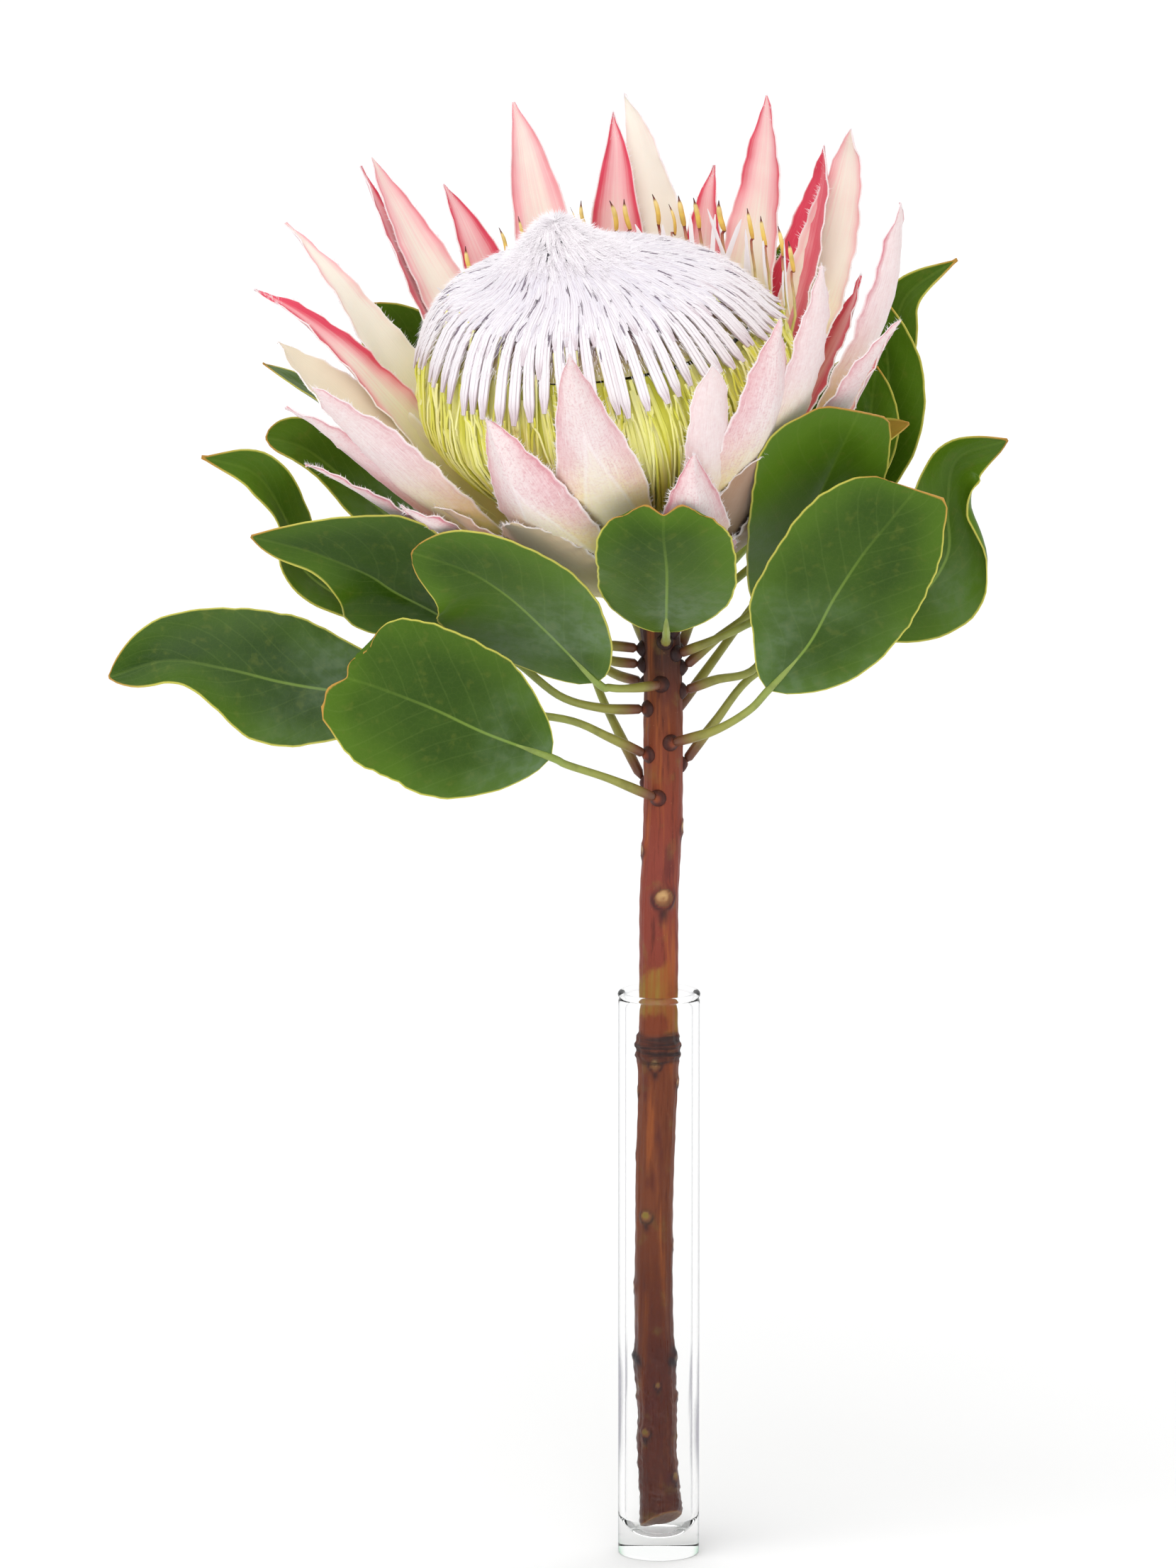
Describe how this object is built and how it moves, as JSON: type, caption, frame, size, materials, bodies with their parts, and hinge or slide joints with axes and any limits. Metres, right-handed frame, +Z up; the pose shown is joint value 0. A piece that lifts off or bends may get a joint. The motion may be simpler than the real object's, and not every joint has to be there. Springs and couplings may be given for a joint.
{
  "type": "cut protea flower in a glass tube vase",
  "caption": "Cut protea bloom with a woolly white floret dome, pink pointed bracts and leathery green leaves, standing on its woody stem in a slim glass tube.",
  "frame": {"origin": "centre of the glass tube's flat base", "axes": "+Z up along the tube, -Y towards the viewer's side of the flower, +X to the viewer's right"},
  "size_m": [0.2745, 0.1794, 0.4483],
  "materials": {
    "glass": "clear polished glass",
    "bark": "matt red-brown bark",
    "bract": "downy, cream to crimson",
    "style": "smooth, lime green",
    "wool": "woolly white",
    "leaf": "leathery, half gloss"
  },
  "bodies": {
    "root": {"glass_tube": "glass", "stem": "bark", "bracts": "bract", "florets_green": "style", "florets_wool": "wool", "leaf_front_low_left": "leaf", "leaf_far_left": "leaf", "leaf_front_upper_left": "leaf", "leaf_left": "leaf", "leaf_left_folded": "leaf", "leaf_left_upper": "leaf", "leaf_back_left_low": "leaf", "leaf_back_left_high": "leaf", "leaf_front_middle": "leaf", "leaf_right_upper": "leaf", "leaf_front_right": "leaf", "leaf_far_right_waved": "leaf", "leaf_right_high": "leaf", "leaf_right_long": "leaf", "leaf_right_inner": "leaf", "leaf_right_small": "leaf", "leaf_back_right": "leaf", "leaf_back_slim": "leaf", "leaf_back": "leaf"}
  },
  "joints": []
}
